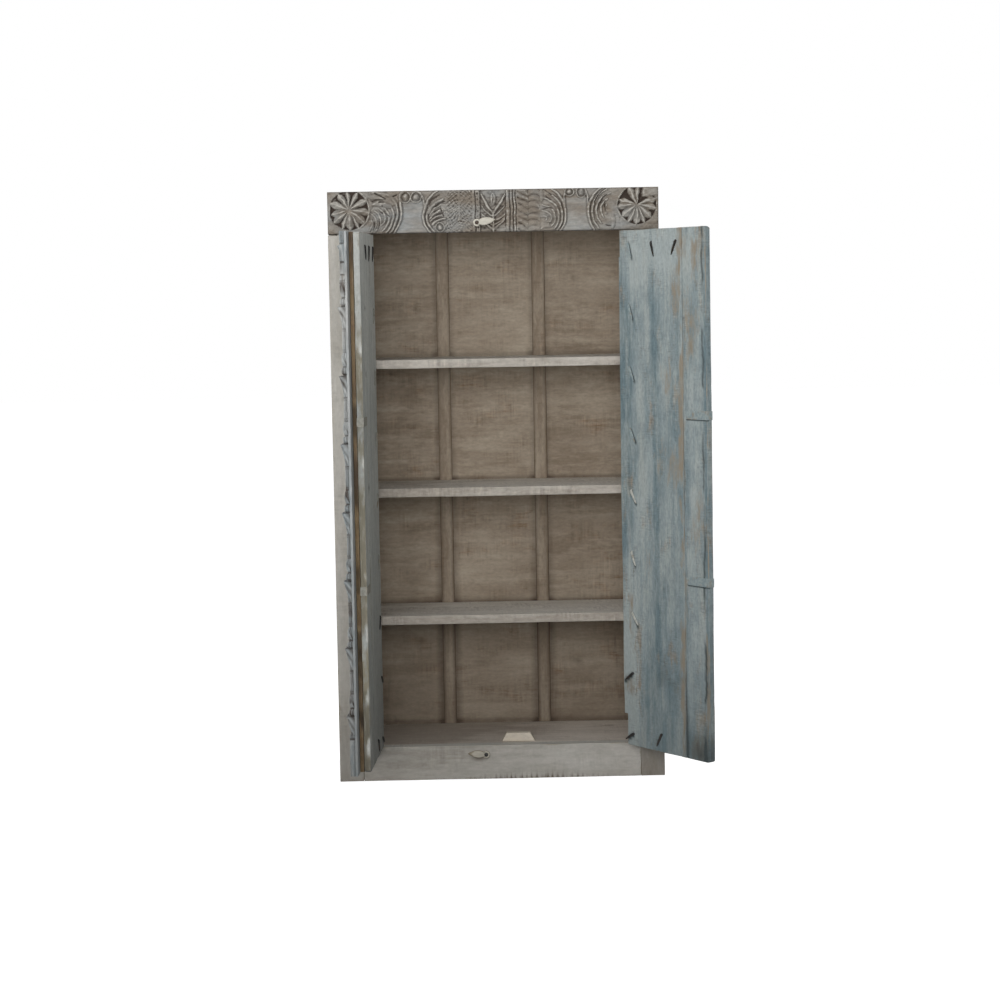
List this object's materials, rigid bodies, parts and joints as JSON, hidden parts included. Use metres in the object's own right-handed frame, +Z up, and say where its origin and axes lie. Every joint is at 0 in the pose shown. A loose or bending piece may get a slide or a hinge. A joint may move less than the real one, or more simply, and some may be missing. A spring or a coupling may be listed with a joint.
{
  "type": "bookcase",
  "caption": "Tall whitewashed hardwood bookcase with a carved lintel, fixed shelves, and a pair of thick old plank doors in worn blue-grey paint, held shut by turn buttons.",
  "frame": {"origin": "on the floor, at the centre of the carcass footprint, on the underside of the floor bearer", "axes": "+Z up, -Y out of the front, +X to the right of someone looking at the front"},
  "size_m": [1.1178, 0.8964, 1.8],
  "materials": {
    "whitewashed_wood": "whitewashed, worn, matt",
    "inside_wash": "thin grey-brown wash, matt",
    "carved_whitewash": "carved, whitewash rubbed off the high parts",
    "blue_grey_door_paint": "old blue-grey paint, streaked and rubbed",
    "bare_pale_wood": "bare planed wood",
    "cream_painted_wood": "cream paint, worn at the edges",
    "forged_iron": "dark forged iron",
    "painted_strap_iron": "iron painted over with the door"
  },
  "bodies": {
    "carcass": {"back_board_centre": "inside_wash", "back_board_left": "inside_wash", "back_board_right": "inside_wash", "back_strip_left": "inside_wash", "back_strip_right": "inside_wash", "bottom_rail": "whitewashed_wood", "door_stop_block": "bare_pale_wood", "floor_bearer": "inside_wash", "floor_board": "inside_wash", "left_front_stile": "whitewashed_wood", "left_hinge_frame_leaves": "forged_iron", "left_hinge_frame_screws": "forged_iron", "left_hinge_pins": "forged_iron", "left_rear_post": "inside_wash", "left_shelf_cleats": "inside_wash", "left_side_front_plank": "whitewashed_wood", "left_side_rear_plank": "whitewashed_wood", "lintel": "carved_whitewash", "lower_latch_screw": "forged_iron", "lower_latch_washer": "forged_iron", "lower_shelf": "inside_wash", "middle_shelf": "inside_wash", "right_front_stile": "whitewashed_wood", "right_hinge_frame_leaves": "forged_iron", "right_hinge_frame_screws": "forged_iron", "right_hinge_pins": "forged_iron", "right_rear_post": "inside_wash", "right_shelf_cleats": "inside_wash", "right_side_front_plank": "whitewashed_wood", "right_side_rear_plank": "whitewashed_wood", "top_front_board": "whitewashed_wood", "top_rear_board": "whitewashed_wood", "upper_latch_screw": "forged_iron", "upper_latch_washer": "forged_iron", "upper_shelf": "inside_wash"},
    "left_door": {"left_door_astragal": "blue_grey_door_paint", "left_door_bottom_rail": "blue_grey_door_paint", "left_door_hinge_stile": "blue_grey_door_paint", "left_door_meeting_batten": "blue_grey_door_paint", "left_door_middle_rails": "blue_grey_door_paint", "left_door_nails": "forged_iron", "left_door_narrow_plank": "blue_grey_door_paint", "left_door_straps": "painted_strap_iron", "left_door_top_rail": "blue_grey_door_paint", "left_door_wide_plank": "blue_grey_door_paint", "left_hinge_door_leaves": "forged_iron", "left_hinge_door_screws": "forged_iron"},
    "right_door": {"right_door_bottom_rail": "blue_grey_door_paint", "right_door_hinge_stile": "blue_grey_door_paint", "right_door_meeting_batten": "blue_grey_door_paint", "right_door_middle_rails": "blue_grey_door_paint", "right_door_nails": "forged_iron", "right_door_narrow_plank": "blue_grey_door_paint", "right_door_straps": "painted_strap_iron", "right_door_top_rail": "blue_grey_door_paint", "right_door_wide_plank": "blue_grey_door_paint", "right_hinge_door_leaves": "forged_iron", "right_hinge_door_screws": "forged_iron"},
    "upper_latch": {"upper_latch": "cream_painted_wood"},
    "lower_latch": {"lower_latch": "cream_painted_wood"}
  },
  "joints": [
    {"name": "left_door_swing", "type": "hinge", "parent": "carcass", "child": "left_door", "pos_m": [-0.424, -0.2155, 0.889], "axis": [0, 0, -1], "range_deg": [-93.5, 76.5]},
    {"name": "right_door_swing", "type": "hinge", "parent": "carcass", "child": "right_door", "pos_m": [0.424, -0.2155, 0.889], "axis": [0, 0, 1], "range_deg": [-123, 47]},
    {"name": "upper_latch_turn", "type": "hinge", "parent": "carcass", "child": "upper_latch", "pos_m": [-0.05, -0.2243, 1.701], "axis": [0, 1, 0], "range_deg": [-81, 99]},
    {"name": "lower_latch_turn", "type": "hinge", "parent": "carcass", "child": "lower_latch", "pos_m": [-0.05, -0.2163, 0.077], "axis": [0, 1, 0], "range_deg": [-94, 86]}
  ]
}
